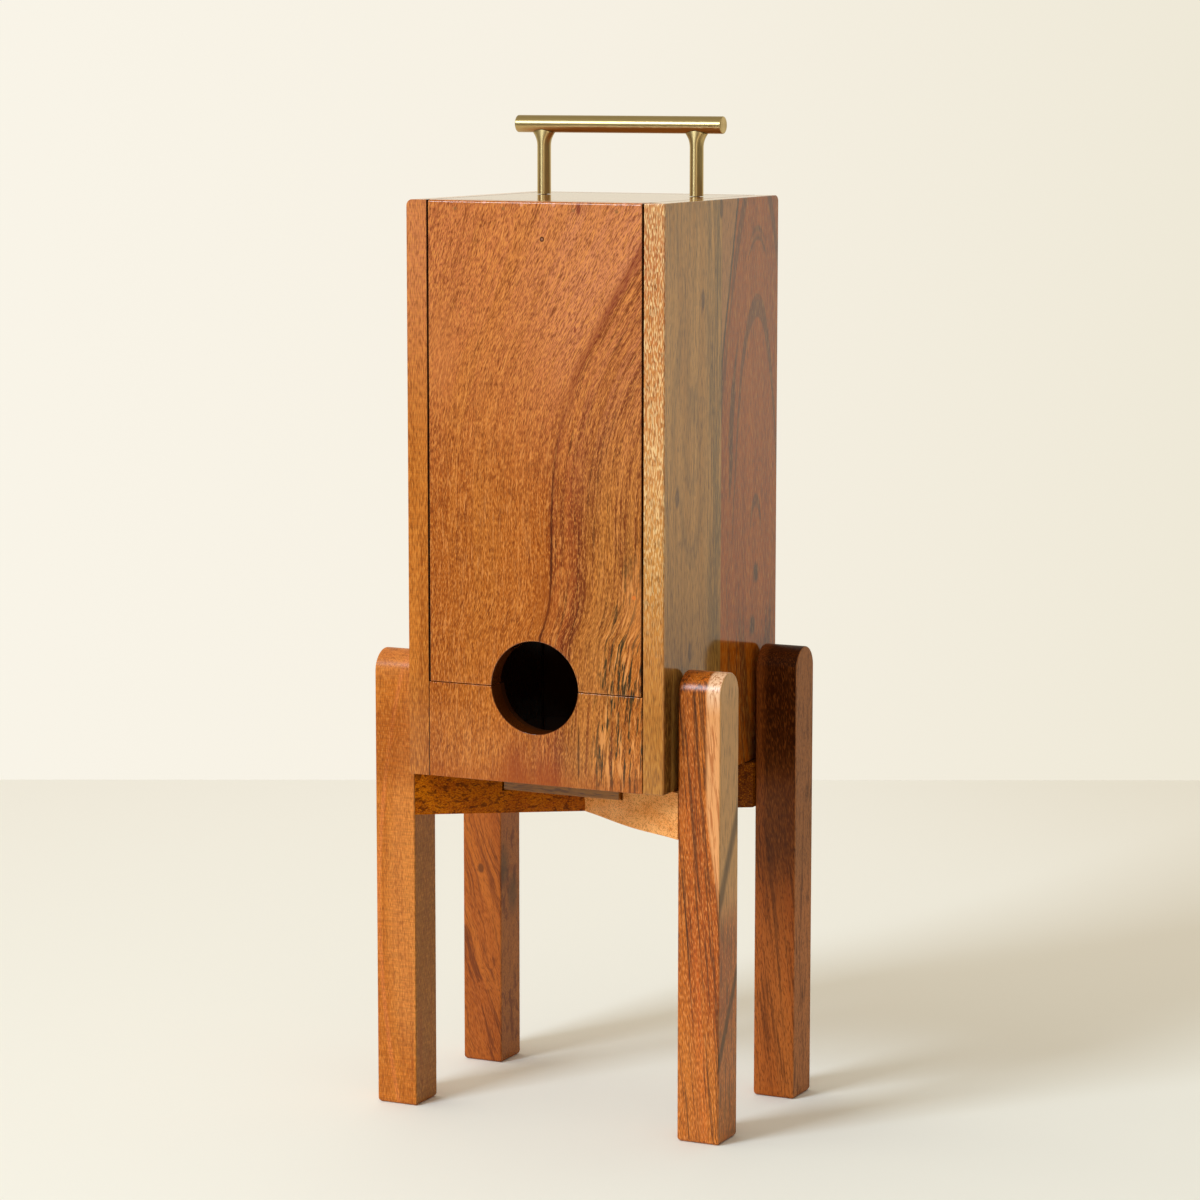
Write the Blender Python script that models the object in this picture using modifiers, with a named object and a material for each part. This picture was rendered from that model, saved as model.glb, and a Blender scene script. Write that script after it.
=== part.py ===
"""A wooden wine box cabinet that lifts off its four legged stand.

The cabinet hides a wine carton behind a front door that slides up out of two
grooves. A round hole, half in the door and half in the fixed panel below it,
lets the carton's tap through. A brass bar handle carries the cabinet, and a
plate under its floor drops into a recess in the stand's crossed arms.

X is to the right, Y to the back and Z up, with the floor at Z = 0 under the
middle of the stand. All sizes are in metres.
"""

import bpy
import bmesh
import math
from mathutils import Vector

# Cabinet
box_width = 0.200
box_depth = 0.198
box_height = 0.410
side_thickness = 0.016
back_thickness = 0.016
floor_thickness = 0.016
top_thickness = 0.016
lower_front_thickness = 0.020
panel_easing = 0.0010
top_rounding = 0.0045
glue_gap = 0.0003

# Tap hole, which the door and the lower front share
hole_diameter = 0.068
hole_height = 0.068

# Sliding door and its grooves
door_thickness = 0.015
door_side_gap = 0.0014
door_rest_gap = 0.0004
door_back_gap = 0.0006
door_easing = 0.0006
tongue_thickness = 0.0050
groove_depth = 0.0050
groove_clearance = 0.0004
tongue_setback = 0.0050

# Handle
bar_diameter = 0.0125
bar_overhang = 0.021
bar_chamfer = 0.0006
post_diameter = 0.0100
post_inset = 0.039
bar_height = 0.051
handle_setback = 0.040
flare_radius = 0.0045
flare_height = 0.0060
post_seat_gap = 0.0003

# Stand
leg_width = 0.032
leg_depth = 0.032
leg_height = 0.335
leg_easing = 0.0015
leg_side_gap = 0.0045
leg_setback = 0.015
arm_thickness = 0.030
arm_depth = 0.033
arm_easing = 0.0008
cabinet_height = 0.250
lap_clearance = 0.0003
rest_gap = 0.0003

# Locating plate under the cabinet and the recess it drops into
plate_width = 0.093
plate_depth = 0.098
plate_thickness = 0.0165
plate_shift = -0.004
plate_easing = 0.0010
recess_clearance = 0.0012
recess_floor_gap = 0.0010

# Dowels
panel_dowel_diameter = 0.006
panel_dowel_length = 0.024
panel_dowel_in_side = 0.010
panel_dowel_spacing = 0.100
leg_dowel_diameter = 0.008
leg_dowel_length = 0.030
leg_dowel_in_leg = 0.014
leg_dowel_spacing = 0.016
leg_dowel_inset = 0.018
dowel_clearance = 0.0003
dowel_end_gap = 0.0005
dowel_chamfer = 0.0006

# Wood screws through the locating plate, and the one that locks the half lap
wood_screw_diameter = 0.0040
wood_screw_head_diameter = 0.0080
wood_screw_head_height = 0.0024
wood_screw_tip = 0.0040
plate_screw_length = 0.028
plate_screw_inset = 0.012
lap_screw_length = 0.0125
screw_clearance = 0.0003

# Machine screws and washers that hold the handle from inside the cabinet
handle_screw_diameter = 0.005
handle_screw_reach = 0.012
handle_screw_head_diameter = 0.0095
handle_screw_head_height = 0.0030
washer_diameter = 0.014
washer_thickness = 0.0012

# Shared by all cuts
overrun = 0.004
weld_distance = 0.00001
bevel_steps = 2
rounding_steps = 5
dowel_bevel_steps = 1
bevel_angle = math.radians(30)
smooth_angle = math.radians(35)
hole_sides = 64
bar_sides = 32
dowel_sides = 16
screw_sides = 16
arc_steps = 20
flare_steps = 5

# Worked out from the sizes above
inner_half_width = box_width / 2 - side_thickness
front_face = -box_depth / 2
back_face = box_depth / 2
door_back = front_face + door_thickness
lower_front_back = front_face + lower_front_thickness
back_panel_front = back_face - back_thickness
groove_middle = front_face + tongue_setback + tongue_thickness / 2
door_half_width = inner_half_width - door_side_gap
door_middle = front_face + door_thickness / 2
post_spacing = box_width - 2 * post_inset
bar_length = post_spacing + 2 * bar_overhang
stand_half_depth = box_depth / 2 - leg_setback
leg_inner = box_width / 2 + leg_side_gap
leg_middle_x = leg_inner + leg_width / 2
leg_middle_y = stand_half_depth - leg_depth / 2
arm_top = cabinet_height - rest_gap
arm_bottom = arm_top - arm_depth
arm_middle = (arm_top + arm_bottom) / 2
recess_floor = cabinet_height - plate_thickness - recess_floor_gap
lap_level = (recess_floor + arm_bottom) / 2
corner_reach = math.hypot(leg_inner, stand_half_depth)
arm_angle = math.atan2(stand_half_depth, leg_inner) - math.asin(arm_thickness / 2 / corner_reach)

# Directions that a board's faces look in
left = Vector((-1, 0, 0))
back = Vector((0, 1, 0))
up = Vector((0, 0, 1))

# Finishes: colour, roughness and how metallic
finishes = {
    "door_wood": ((0.430, 0.130, 0.030), 0.42, 0.0),
    "front_wood": ((0.400, 0.130, 0.035), 0.42, 0.0),
    "side_wood": ((0.480, 0.190, 0.055), 0.42, 0.0),
    "board_wood": ((0.300, 0.150, 0.060), 0.45, 0.0),
    "leg_wood": ((0.420, 0.120, 0.025), 0.38, 0.0),
    "dark_leg_wood": ((0.120, 0.042, 0.012), 0.40, 0.0),
    "arm_wood": ((0.280, 0.100, 0.018), 0.45, 0.0),
    "dowel_wood": ((0.550, 0.360, 0.180), 0.60, 0.0),
    "brass": ((0.620, 0.440, 0.180), 0.28, 1.0),
    "steel": ((0.560, 0.560, 0.570), 0.35, 1.0),
}


def clear_scene():
    for item in list(bpy.data.objects):
        bpy.data.objects.remove(item, do_unlink=True)


def collection_named(name):
    """The scene's collection of this name, made if it isn't there yet."""
    group = bpy.data.collections.get(name)
    if group is None:
        group = bpy.data.collections.new(name)
        bpy.context.scene.collection.children.link(group)
    return group


def finish_for(piece_name, finish):
    """A Principled material of the piece's own, in one of the named finishes."""
    colour, roughness, metallic = finishes[finish]
    material = bpy.data.materials.new(piece_name + "_" + finish)
    material.use_nodes = True
    shader = material.node_tree.nodes["Principled BSDF"]
    shader.inputs["Base Color"].default_value = (*colour, 1)
    shader.inputs["Roughness"].default_value = roughness
    shader.inputs["Metallic"].default_value = metallic
    material.diffuse_color = (*colour, 1)
    return material


def seat(item, parent, location, rotation=(0, 0, 0)):
    """Place an object in its parent's frame."""
    item.parent = parent
    item.location = location
    item.rotation_euler = rotation


def frame_at(name, parent, location):
    """An empty that carries a group of pieces."""
    empty = bpy.data.objects.new(name, None)
    parts.objects.link(empty)
    seat(empty, parent, location)
    return empty


def add_piece(name, mesh, finish, parent, location, rotation=(0, 0, 0)):
    piece = bpy.data.objects.new(name, mesh)
    parts.objects.link(piece)
    mesh.materials.append(finish_for(name, finish))
    seat(piece, parent, location, rotation)
    return piece


def add_cutter(name, mesh, parent, location, rotation=(0, 0, 0)):
    cutter = bpy.data.objects.new(name, mesh)
    cutters.objects.link(cutter)
    cutter.hide_render = True
    cutter.display_type = "WIRE"
    seat(cutter, parent, location, rotation)
    return cutter


def box_mesh(name, size):
    """A box of the given size, centred on its origin."""
    mesh = bpy.data.meshes.new(name)
    draft = bmesh.new()
    bmesh.ops.create_cube(draft, size=1)
    bmesh.ops.scale(draft, vec=size, verts=draft.verts)
    draft.to_mesh(mesh)
    draft.free()
    return mesh


def cylinder_mesh(name, diameter, length, sides):
    """A capped cylinder along Z, centred on its origin."""
    mesh = bpy.data.meshes.new(name)
    draft = bmesh.new()
    radius = diameter / 2
    bmesh.ops.create_cone(draft, cap_ends=True, segments=sides,
                          radius1=radius, radius2=radius, depth=length)
    draft.to_mesh(mesh)
    draft.free()
    return mesh


def outline_mesh(name, points, thickness):
    """A flat closed outline in XY, extruded evenly to both sides of it."""
    flat = bpy.data.curves.new(name, "CURVE")
    flat.dimensions = "2D"
    flat.fill_mode = "BOTH"
    flat.extrude = thickness / 2
    line = flat.splines.new("POLY")
    line.points.add(len(points) - 1)
    for spot, (x, y) in zip(line.points, points):
        spot.co = (x, y, 0, 1)
    line.use_cyclic_u = True
    drawn = bpy.data.objects.new(name, flat)
    parts.objects.link(drawn)
    bpy.context.view_layer.update()
    shape = drawn.evaluated_get(bpy.context.evaluated_depsgraph_get())
    mesh = bpy.data.meshes.new_from_object(shape)
    bpy.data.objects.remove(drawn)
    draft = bmesh.new()
    draft.from_mesh(mesh)
    bmesh.ops.remove_doubles(draft, verts=draft.verts, dist=weld_distance)
    bmesh.ops.recalc_face_normals(draft, faces=draft.faces)
    draft.to_mesh(mesh)
    draft.free()
    return mesh


def profile_mesh(name, points, closed=False):
    """A line of points in XZ for a Screw modifier to turn round Z."""
    mesh = bpy.data.meshes.new(name)
    draft = bmesh.new()
    spots = [draft.verts.new((x, 0, z)) for x, z in points]
    ends = spots[1:] + spots[:1] if closed else spots[1:]
    for start, end in zip(spots, ends):
        draft.edges.new((start, end))
    draft.to_mesh(mesh)
    draft.free()
    return mesh


def turn(item, sides):
    """Turn a profile once round its own Z."""
    screw = item.modifiers.new("turned", "SCREW")
    screw.axis = "Z"
    screw.angle = math.tau
    screw.steps = sides
    screw.render_steps = sides
    screw.use_merge_vertices = True
    screw.merge_threshold = weld_distance
    screw.use_smooth_shade = True


def ease_edges(item, width, steps=bevel_steps):
    bevel = item.modifiers.new("eased edges", "BEVEL")
    bevel.width = width
    bevel.segments = steps
    bevel.limit_method = "ANGLE"
    bevel.angle_limit = bevel_angle


def round_edges(board, pairs):
    """Round the edge between each pair of a plain box's faces, named by where they look."""
    draft = bmesh.new()
    draft.from_mesh(board.data)
    weight = draft.edges.layers.float.new("bevel_weight_edge")
    for edge in draft.edges:
        normals = [face.normal for face in edge.link_faces]
        if any(normal_near(first, normals) and normal_near(second, normals) for first, second in pairs):
            edge[weight] = 1
    draft.to_mesh(board.data)
    draft.free()
    bevel = board.modifiers.new("rounded edges", "BEVEL")
    bevel.width = top_rounding
    bevel.segments = rounding_steps
    bevel.limit_method = "WEIGHT"


def normal_near(direction, normals):
    """Whether one of a box's face normals looks in this direction."""
    return any(normal.angle(direction) < bevel_angle for normal in normals)


def combine(item, tool, operation):
    boolean = item.modifiers.new(operation.lower(), "BOOLEAN")
    boolean.operation = operation
    boolean.solver = "EXACT"
    boolean.object = tool


def cut(item, *tools):
    for tool in tools:
        combine(item, tool, "DIFFERENCE")


def smooth_round(item):
    """Shade a round piece smooth, but keep its rims crisp."""
    item.data.shade_smooth()
    item.data.set_sharp_from_angle(angle=smooth_angle)


def panel(name, size, finish, parent, location, easing=panel_easing, rounded=()):
    """A flat board with eased edges, and with some rounded further if asked."""
    board = add_piece(name, box_mesh(name, size), finish, parent, location)
    if rounded:
        round_edges(board, rounded)
    ease_edges(board, easing)
    return board


def x_drill(name, diameter, length, parent, location):
    """A round cutter along X."""
    mesh = cylinder_mesh(name, diameter, length, dowel_sides)
    return add_cutter(name, mesh, parent, location, (0, math.pi / 2, 0))


def z_drill(name, diameter, length, parent, location):
    """A round cutter along Z."""
    mesh = cylinder_mesh(name, diameter, length, dowel_sides)
    return add_cutter(name, mesh, parent, location)


def dowel(name, diameter, length, parent, location):
    """A chamfered wooden dowel along X."""
    mesh = cylinder_mesh(name, diameter, length, dowel_sides)
    pin = add_piece(name, mesh, "dowel_wood", parent, location, (0, math.pi / 2, 0))
    smooth_round(pin)
    ease_edges(pin, dowel_chamfer, dowel_bevel_steps)
    return pin


def doweled(name, diameter, length, parent, middle, first, second):
    """A dowel across the joint of two pieces, and the hole for it in both."""
    dowel(name, diameter, length, parent, middle)
    bore = x_drill(name + "_bore", diameter + 2 * dowel_clearance,
                   length + 2 * dowel_end_gap, parent, middle)
    cut(first, bore)
    cut(second, bore)


def wood_screw(name, length, parent, location, rotation):
    """A countersunk wood screw, its head's face at the origin and its tip up Z."""
    radius = wood_screw_diameter / 2
    outline = [
        (0, length),
        (radius, length - wood_screw_tip),
        (radius, wood_screw_head_height),
        (wood_screw_head_diameter / 2, 0),
        (0, 0),
    ]
    mesh = profile_mesh(name, outline)
    screw = add_piece(name, mesh, "steel", parent, location, rotation)
    turn(screw, screw_sides)
    return screw


def wood_screw_hole(name, length, parent, location, rotation):
    """The cutter that leaves room for a countersunk wood screw."""
    radius = wood_screw_diameter / 2 + screw_clearance
    head_radius = wood_screw_head_diameter / 2 + screw_clearance
    outline = [
        (0, length + screw_clearance),
        (radius, length + screw_clearance),
        (radius, wood_screw_head_height + screw_clearance),
        (head_radius, screw_clearance),
        (head_radius, -overrun),
        (0, -overrun),
    ]
    hole = add_cutter(name, profile_mesh(name, outline), parent, location, rotation)
    turn(hole, screw_sides)
    return hole


def side_panel(name, side, rounded):
    """One side of the cabinet, with the groove that guides the door."""
    size = (side_thickness, box_depth, box_height)
    place = (side * (box_width / 2 - side_thickness / 2), 0, box_height / 2)
    board = panel(name, size, "side_wood", cabinet, place, rounded=rounded)
    groove = (2 * groove_depth, tongue_thickness + 2 * groove_clearance, box_height + 2 * overrun)
    place = (side * inner_half_width, groove_middle, box_height / 2)
    cut(board, add_cutter(name + "_groove", box_mesh(name + "_groove", groove), cabinet, place))
    return board


def add_tongues(board, name, end_gap, height, parent, place):
    """Join a strip to a front piece whose ends stand out into the two grooves."""
    length = 2 * (inner_half_width + groove_depth - end_gap)
    mesh = box_mesh(name, (length, tongue_thickness, height))
    combine(board, add_cutter(name, mesh, parent, place), "UNION")


def back_panel():
    width = 2 * (inner_half_width - glue_gap)
    middle = back_face - back_thickness / 2
    size = (width, back_thickness, box_height)
    place = (0, middle, box_height / 2)
    return panel("back_panel", size, "board_wood", cabinet, place, rounded=[(back, up)])


def inner_board_middle(front):
    """Middle and depth of a board that runs from front to the back panel."""
    rear = back_panel_front - glue_gap
    return (front + rear) / 2, rear - front


def floor_panel():
    width = 2 * (inner_half_width - glue_gap)
    middle, depth = inner_board_middle(lower_front_back + glue_gap)
    size = (width, depth, floor_thickness)
    return panel("floor_panel", size, "board_wood", cabinet, (0, middle, floor_thickness / 2))


def top_panel():
    width = 2 * (inner_half_width - glue_gap)
    middle, depth = inner_board_middle(door_back + door_back_gap)
    size = (width, depth, top_thickness)
    place = (0, middle, box_height - top_thickness / 2)
    return panel("top_panel", size, "board_wood", cabinet, place)


def tap_hole(name, parent, location):
    """The round cutter of the tap hole, along Y."""
    length = lower_front_thickness + 2 * overrun
    mesh = cylinder_mesh(name, hole_diameter, length, hole_sides)
    return add_cutter(name, mesh, parent, location, (math.pi / 2, 0, 0))


def lower_front_panel():
    """The fixed panel below the door, with the lower half of the tap hole."""
    height = hole_height
    half_width = inner_half_width - glue_gap
    middle = front_face + lower_front_thickness / 2
    size = (2 * half_width, lower_front_thickness, height)
    board = panel("lower_front_panel", size, "front_wood", cabinet, (0, middle, height / 2), door_easing)
    add_tongues(board, "lower_front_tongues", glue_gap, height, cabinet, (0, groove_middle, height / 2))
    cut(board, tap_hole("lower_hole", cabinet, (0, middle, hole_height)))
    return board


def sliding_door():
    """The door, with a tongue down each edge and the upper half of the hole."""
    height = box_height - hole_height - door_rest_gap
    rise = door_rest_gap + height / 2
    size = (2 * door_half_width, door_thickness, height)
    board = panel("sliding_door", size, "door_wood", door_slide, (0, 0, rise), door_easing)
    tongue_place = (0, groove_middle - door_middle, rise)
    add_tongues(board, "door_tongues", groove_clearance, height, door_slide, tongue_place)
    cut(board, tap_hole("upper_hole", door_slide, (0, 0, 0)))
    return board


def cabinet_dowels(level, board, height, side_name, side, side_board):
    """Two dowels from one end of the top or the floor into a side panel."""
    inset = panel_dowel_length / 2 - panel_dowel_in_side
    for row_name, row in (("front", -1), ("back", 1)):
        middle = (side * (inner_half_width - inset), row * panel_dowel_spacing / 2, height)
        name = level + "_dowel_" + side_name + "_" + row_name
        doweled(name, panel_dowel_diameter, panel_dowel_length, cabinet, middle, board, side_board)


def locating_plate(floor):
    """The plate under the floor, its four screws and their holes."""
    size = (plate_width, plate_depth, plate_thickness - glue_gap)
    middle = (plate_shift, 0, -glue_gap - size[2] / 2)
    plate = panel("locating_plate", size, "board_wood", cabinet, middle, plate_easing)
    reach_x = plate_width / 2 - plate_screw_inset
    reach_y = plate_depth / 2 - plate_screw_inset
    for side_name, side in (("left", -1), ("right", 1)):
        for row_name, row in (("front", -1), ("back", 1)):
            place = (plate_shift + side * reach_x, row * reach_y, -plate_thickness)
            name = "plate_screw_" + side_name + "_" + row_name
            wood_screw(name, plate_screw_length, cabinet, place, (0, 0, 0))
            hole = wood_screw_hole(name + "_hole", plate_screw_length, cabinet, place, (0, 0, 0))
            cut(plate, hole)
            cut(floor, hole)
    return plate


def handle_bar():
    mesh = cylinder_mesh("handle_bar", bar_diameter, bar_length, bar_sides)
    bar = add_piece("handle_bar", mesh, "brass", handle, (0, 0, bar_height), (0, math.pi / 2, 0))
    smooth_round(bar)
    ease_edges(bar, bar_chamfer)
    return bar


def post_outline():
    """Half section of a post: a flared top, a straight shank and a bore from below."""
    radius = post_diameter / 2
    bore = handle_screw_diameter / 2 + screw_clearance
    bore_end = handle_screw_reach + screw_clearance
    flare_base = bar_height - bar_diameter / 2 - flare_height
    points = [(0, bar_height), (radius + flare_radius, bar_height)]
    for step in range(flare_steps + 1):
        turned = math.pi / 2 * step / flare_steps
        x = radius + flare_radius * (1 - math.sin(turned))
        z = flare_base + flare_height * math.cos(turned)
        points.append((x, z))
    points += [(radius, post_seat_gap), (bore, post_seat_gap), (bore, bore_end), (0, bore_end)]
    return points


def handle_post(name, x):
    """A post whose flared top is shaped to the bar that rests in it."""
    mesh = profile_mesh(name, post_outline())
    post = add_piece(name, mesh, "brass", handle, (x, 0, 0))
    turn(post, bar_sides)
    slab_size = (2 * (post_diameter + flare_radius), bar_diameter - 2 * bar_chamfer, 2 * bar_height)
    slab_mesh = box_mesh(name + "_slab", slab_size)
    combine(post, add_cutter(name + "_slab", slab_mesh, handle, (x, 0, bar_height)), "INTERSECT")
    return post


def saddle_cutter(name, x):
    """The cutter that shapes the saddle in a post's top to the bar."""
    mesh = cylinder_mesh(name, bar_diameter + 2 * post_seat_gap, bar_length, bar_sides)
    return add_cutter(name, mesh, handle, (x, 0, bar_height), (0, math.pi / 2, 0))


def post_fixing(side_name, x, top):
    """The washer and machine screw under the top panel, and the screw's hole."""
    washer_top = -top_thickness - glue_gap
    washer_bottom = washer_top - washer_thickness
    bore = handle_screw_diameter / 2 + screw_clearance
    ring = [(bore, washer_top), (washer_diameter / 2, washer_top),
            (washer_diameter / 2, washer_bottom), (bore, washer_bottom)]
    name = "handle_washer_" + side_name
    washer = add_piece(name, profile_mesh(name, ring, closed=True), "steel", handle, (x, 0, 0))
    turn(washer, screw_sides)
    head_top = washer_bottom - glue_gap
    head_bottom = head_top - handle_screw_head_height
    outline = [(0, handle_screw_reach), (handle_screw_diameter / 2, handle_screw_reach),
               (handle_screw_diameter / 2, head_top), (handle_screw_head_diameter / 2, head_top),
               (handle_screw_head_diameter / 2, head_bottom), (0, head_bottom)]
    name = "handle_screw_" + side_name
    screw = add_piece(name, profile_mesh(name, outline), "steel", handle, (x, 0, 0))
    turn(screw, screw_sides)
    length = top_thickness + 2 * overrun
    cut(top, z_drill(name + "_hole", 2 * bore, length, handle, (x, 0, -top_thickness / 2)))


def leg_outline():
    """Side view of a leg: square at the foot and half round at the top."""
    radius = leg_depth / 2
    points = [(-radius, 0), (radius, 0)]
    for step in range(arc_steps + 1):
        turned = math.pi * step / arc_steps
        points.append((radius * math.cos(turned), leg_height - radius + radius * math.sin(turned)))
    return points


def leg(name, x, y, finish):
    """A leg whose outline is drawn in YZ and has its width along X."""
    mesh = outline_mesh(name, leg_outline(), leg_width)
    post = add_piece(name, mesh, finish, stand, (x, y, 0), (math.pi / 2, 0, math.pi / 2))
    ease_edges(post, leg_easing)
    return post


def arm_outline(slant, thickness, reach):
    """Plan of a cross arm: straight along its slant, with ends square to X."""
    side = thickness / 2 / math.cos(slant)
    rise = reach * math.tan(slant)
    return [(-reach, -rise - side), (reach, rise - side), (reach, rise + side), (-reach, -rise + side)]


def cross_arm(name, slant):
    mesh = outline_mesh(name, arm_outline(slant, arm_thickness, leg_inner - glue_gap), arm_depth)
    arm = add_piece(name, mesh, "arm_wood", stand, (0, 0, arm_middle))
    ease_edges(arm, arm_easing)
    size = (plate_width + 2 * recess_clearance, plate_depth + 2 * recess_clearance, arm_depth)
    recess = box_mesh(name + "_recess", size)
    cut(arm, add_cutter(name + "_recess", recess, stand, (plate_shift, 0, recess_floor + arm_depth / 2)))
    return arm


def lap_notch(arm, name, crossing_slant, bottom):
    """Cut the half lap for the arm that crosses this one."""
    outline = arm_outline(crossing_slant, arm_thickness + 2 * lap_clearance, leg_inner)
    notch = add_cutter(name, outline_mesh(name, outline, arm_depth), stand, (0, 0, bottom + arm_depth / 2))
    cut(arm, notch)


def leg_joint(name, post, arm, side, row):
    """Two dowels that join an arm's end to the inner side of a leg."""
    inset = leg_dowel_length / 2 - leg_dowel_in_leg
    y = row * (stand_half_depth - leg_dowel_inset)
    for level, rise in (("lower", -leg_dowel_spacing / 2), ("upper", leg_dowel_spacing / 2)):
        middle = (side * (leg_inner - inset), y, arm_middle + rise)
        doweled(name + "_" + level, leg_dowel_diameter, leg_dowel_length, stand, middle, post, arm)


def build_stand():
    lower_arm = cross_arm("cross_arm_lower", arm_angle)
    upper_arm = cross_arm("cross_arm_upper", -arm_angle)
    lap_notch(lower_arm, "lower_lap", -arm_angle, lap_level - lap_clearance / 2)
    lap_notch(upper_arm, "upper_lap", arm_angle, lap_level + lap_clearance / 2 - arm_depth)
    head = (0, 0, recess_floor - glue_gap)
    flipped = (math.pi, 0, 0)
    wood_screw("lap_screw", lap_screw_length, stand, head, flipped)
    hole = wood_screw_hole("lap_screw_hole", lap_screw_length, stand, head, flipped)
    cut(lower_arm, hole)
    cut(upper_arm, hole)
    for row_name, row in (("front", -1), ("back", 1)):
        for side_name, side in (("left", -1), ("right", 1)):
            place = row_name + "_" + side_name
            wood = "dark_leg_wood" if place == "back_right" else "leg_wood"
            post = leg("leg_" + place, side * leg_middle_x, row * leg_middle_y, wood)
            arm = lower_arm if side == row else upper_arm
            leg_joint("leg_dowel_" + place, post, arm, side, row)


def build_cabinet():
    """The cabinet's boards and what joins them. The left side is rounded along its outer top too."""
    left_board = side_panel("left_side_panel", -1, [(back, up), (left, up)])
    right_board = side_panel("right_side_panel", 1, [(back, up)])
    back_panel()
    floor = floor_panel()
    top = top_panel()
    lower_front_panel()
    for side_name, side, side_board in (("left", -1, left_board), ("right", 1, right_board)):
        cabinet_dowels("floor", floor, floor_thickness / 2, side_name, side, side_board)
        cabinet_dowels("top", top, box_height - top_thickness / 2, side_name, side, side_board)
    locating_plate(floor)
    return top


def build_handle(top):
    handle_bar()
    for side_name, side in (("left", -1), ("right", 1)):
        x = side * post_spacing / 2
        post = handle_post("handle_post_" + side_name, x)
        cut(post, saddle_cutter("post_saddle_" + side_name, x))
        post_fixing(side_name, x, top)


clear_scene()
parts = collection_named("box_wine_dispenser")
cutters = collection_named("box_wine_dispenser_cutters")
stand = frame_at("stand_frame", None, (0, 0, 0))
cabinet = frame_at("cabinet_frame", stand, (0, 0, cabinet_height))
door_slide = frame_at("door_slide_frame", cabinet, (0, door_middle, hole_height))
handle = frame_at("handle_frame", cabinet, (0, handle_setback, box_height))
build_stand()
top_board = build_cabinet()
build_handle(top_board)
sliding_door()
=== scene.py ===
"""A wooden wine box cabinet on its four legged stand, finished in lacquered acacia and brass.

The sections follow the object as it is put together: the studio first, then the cabinet from
its door to its back, then the handle, the stand and the small hardware inside.
"""

import bpy
import math
from mathutils import Matrix, Vector


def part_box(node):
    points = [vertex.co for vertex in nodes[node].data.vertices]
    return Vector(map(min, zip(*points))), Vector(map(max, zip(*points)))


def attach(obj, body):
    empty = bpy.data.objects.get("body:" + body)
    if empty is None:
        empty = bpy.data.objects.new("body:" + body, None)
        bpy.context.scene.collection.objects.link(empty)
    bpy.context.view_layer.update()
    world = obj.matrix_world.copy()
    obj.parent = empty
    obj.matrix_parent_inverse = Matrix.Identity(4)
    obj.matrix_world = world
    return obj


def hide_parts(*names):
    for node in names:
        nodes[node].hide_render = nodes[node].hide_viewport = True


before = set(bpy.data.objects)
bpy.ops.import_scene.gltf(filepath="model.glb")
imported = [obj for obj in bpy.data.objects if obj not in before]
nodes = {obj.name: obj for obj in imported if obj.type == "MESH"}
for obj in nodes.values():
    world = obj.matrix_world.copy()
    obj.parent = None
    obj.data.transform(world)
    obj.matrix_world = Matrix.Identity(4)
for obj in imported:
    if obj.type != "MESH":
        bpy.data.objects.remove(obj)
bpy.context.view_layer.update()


# Camera
# A long lens stands to the right of the cabinet's front, a little above the top of the legs,
# and looks slightly down. It isn't part of the object.
lens_length = 114.77
sensor_width = 36
camera_place = (1.19252, -2.47483, 0.75326)
camera_turn = 0.44784
camera_dip = 0.13889
camera_roll = 0.00059

camera_data = bpy.data.cameras.new("camera")
camera_data.sensor_width = sensor_width
camera_data.lens = lens_length
camera = bpy.data.objects.new("camera", camera_data)
bpy.context.scene.collection.objects.link(camera)
camera.matrix_world = (
    Matrix.Translation(camera_place)
    @ Matrix.Rotation(camera_turn, 4, "Z")
    @ Matrix.Rotation(math.pi / 2 - camera_dip, 4, "X")
    @ Matrix.Rotation(camera_roll, 4, "Z")
)
bpy.context.scene.camera = camera
bpy.context.scene.view_settings.view_transform = "Standard"


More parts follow.
